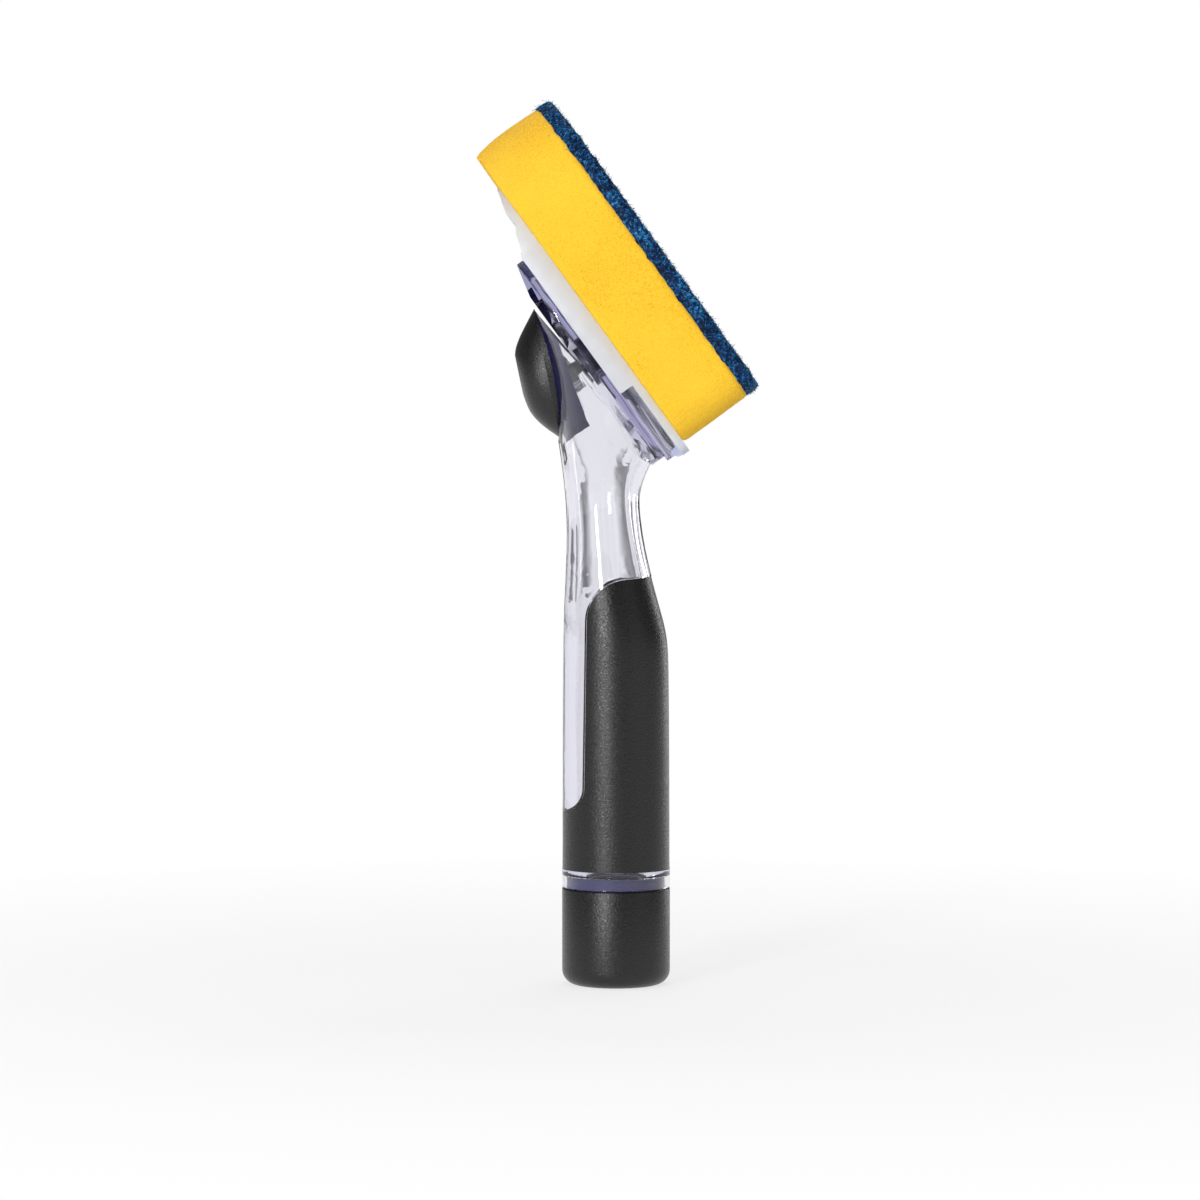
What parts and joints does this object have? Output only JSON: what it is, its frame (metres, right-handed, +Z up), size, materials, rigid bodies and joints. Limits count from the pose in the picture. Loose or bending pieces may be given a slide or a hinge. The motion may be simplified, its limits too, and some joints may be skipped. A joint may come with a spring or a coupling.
{
  "type": "dish wand",
  "caption": "Soap-filled dish wand: clear hollow handle with a soft grip, a thumb button that opens a valve, a screw cap, and a slide-on sponge refill with a scouring face.",
  "frame": {"origin": "centre of the flat base of the screw cap, which the wand stands on", "axes": "+Z up the handle to the head, +X towards the scrubbing side, so the picture looks along +Y"},
  "size_m": [0.0756, 0.058, 0.2356],
  "materials": {
    "clear_plastic": "clear, polished, faint blue-violet tint",
    "soft_black": "matte soft-touch with fine grain",
    "hard_black": "moulded black",
    "white_plastic": "milky white, slightly translucent",
    "acetal": "natural white moulding",
    "silicone": "soft translucent grey",
    "steel": "bright spring wire",
    "foam": "open-cell yellow foam",
    "scour_fibre": "ragged dark blue nonwoven fibre"
  },
  "bodies": {
    "handle": {"reservoir_body": "clear_plastic", "grip_sleeve": "soft_black", "tongue_plate": "clear_plastic", "outlet_seat": "acetal", "stem_guide": "acetal", "stem_seal": "silicone", "seal_retainer": "acetal", "return_spring": "steel"},
    "button": {"button_cap": "soft_black", "button_core": "hard_black", "plunger_stem": "acetal", "valve_poppet": "silicone", "poppet_clip": "steel"},
    "cap_washer": {"cap_gasket": "silicone"},
    "cap": {"cap_core": "hard_black", "cap_cover": "soft_black"},
    "refill": {"refill_plate": "white_plastic", "sponge": "foam", "scour_pad": "scour_fibre"}
  },
  "joints": [
    {"name": "button_press", "type": "slide", "parent": "handle", "child": "button", "axis": [0.809, 0, 0.5878], "range_m": [0, 0.0022], "stiffness_N_per_m": 600, "springref_m": -0.003, "deforming": ["return_spring"]},
    {"name": "cap_drop", "type": "slide", "parent": "handle", "child": "cap_washer", "axis": [0, 0, -1], "range_m": [0, 0.006]},
    {"name": "cap_turn", "type": "hinge", "parent": "cap_washer", "child": "cap", "pos_m": [0, 0, 0.013], "axis": [0, 0, -1], "range_deg": [0, 540]},
    {"name": "refill_slide", "type": "slide", "parent": "handle", "child": "refill", "axis": [-0.5878, 0, 0.809], "range_m": [0, 0.046]}
  ],
  "couplings": [
    {"joint": "cap_turn", "follows": "cap_drop", "rad_per_m": 1570.8}
  ]
}
